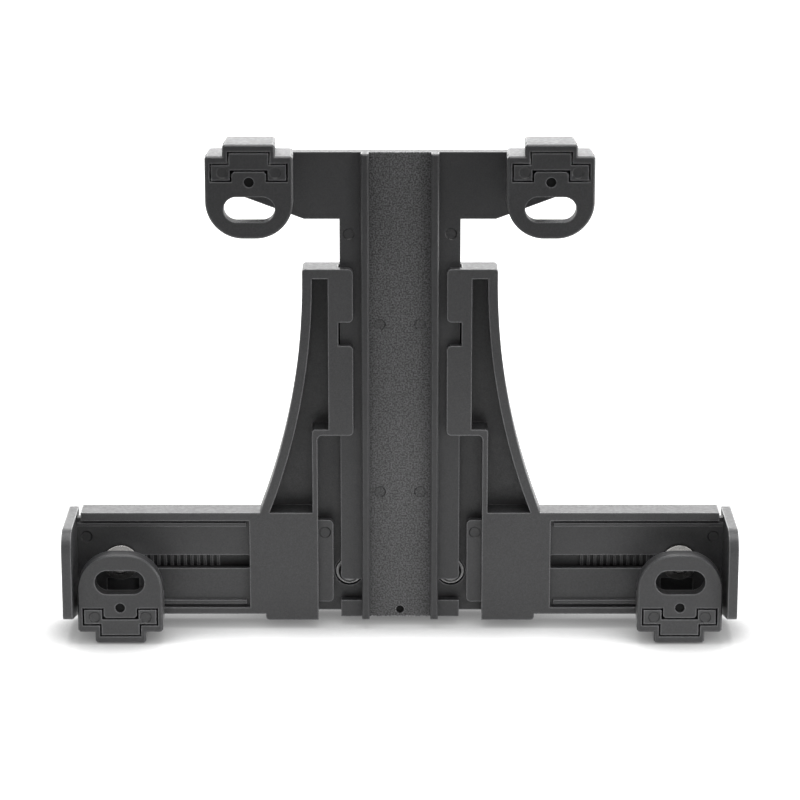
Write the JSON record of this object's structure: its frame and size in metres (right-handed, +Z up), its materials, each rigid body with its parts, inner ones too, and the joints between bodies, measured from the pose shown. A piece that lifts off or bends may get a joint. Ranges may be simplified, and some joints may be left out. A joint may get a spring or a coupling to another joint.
{
  "type": "tablet holder",
  "caption": "Car tablet holder head: a frame with a rising T-slide, side arms that slide out and claws that grip the edges of a tablet.",
  "frame": {"origin": "middle of the fixing pattern on the flat back of the rear cover", "axes": "+Z up, the tablet side faces -Y, +X to the right seen from the front"},
  "size_m": [0.1866, 0.0326, 0.1409],
  "materials": {
    "frame_plastic": "fine spark texture, dark grey",
    "slide_plastic": "fine spark texture, dark grey, grainy centre panel",
    "claw_plastic": "fine texture, slightly smoother, dark grey",
    "bright_steel": "bright nickel plate",
    "spring_steel": "rolled strip"
  },
  "bodies": {
    "frame": {"front_frame": "frame_plastic", "rear_cover": "frame_plastic", "arm_screw_left": "bright_steel", "arm_screw_right": "bright_steel", "arm_washer_left": "bright_steel", "arm_washer_right": "bright_steel", "frame_screw_left": "bright_steel", "frame_screw_right": "bright_steel", "frame_washer_left": "bright_steel", "frame_washer_right": "bright_steel", "slide_detent_spring": "spring_steel", "cover_screws": "bright_steel"},
    "slide": {"t_slide": "slide_plastic"},
    "left_arm": {"arm_left": "slide_plastic", "arm_detent_spring_left": "spring_steel"},
    "right_arm": {"arm_right": "slide_plastic", "arm_detent_spring_right": "spring_steel"},
    "upper_left_claw": {"claw_upper_left": "claw_plastic"},
    "upper_right_claw": {"claw_upper_right": "claw_plastic"},
    "lower_left_claw": {"claw_lower_left": "claw_plastic"},
    "lower_right_claw": {"claw_lower_right": "claw_plastic"}
  },
  "joints": [
    {"name": "slide_height", "type": "slide", "parent": "frame", "child": "slide", "axis": [0, 0, 1], "range_m": [0, 0.055]},
    {"name": "left_arm_reach", "type": "slide", "parent": "frame", "child": "left_arm", "axis": [-1, 0, 0], "range_m": [0, 0.035]},
    {"name": "right_arm_reach", "type": "slide", "parent": "frame", "child": "right_arm", "axis": [1, 0, 0], "range_m": [0, 0.035]},
    {"name": "upper_left_claw_depth", "type": "slide", "parent": "slide", "child": "upper_left_claw", "axis": [0, -1, 0], "range_m": [0, 0.008]},
    {"name": "upper_right_claw_depth", "type": "slide", "parent": "slide", "child": "upper_right_claw", "axis": [0, -1, 0], "range_m": [0, 0.008]},
    {"name": "lower_left_claw_depth", "type": "slide", "parent": "left_arm", "child": "lower_left_claw", "axis": [0, -1, 0], "range_m": [0, 0.008]},
    {"name": "lower_right_claw_depth", "type": "slide", "parent": "right_arm", "child": "lower_right_claw", "axis": [0, -1, 0], "range_m": [0, 0.008]}
  ]
}
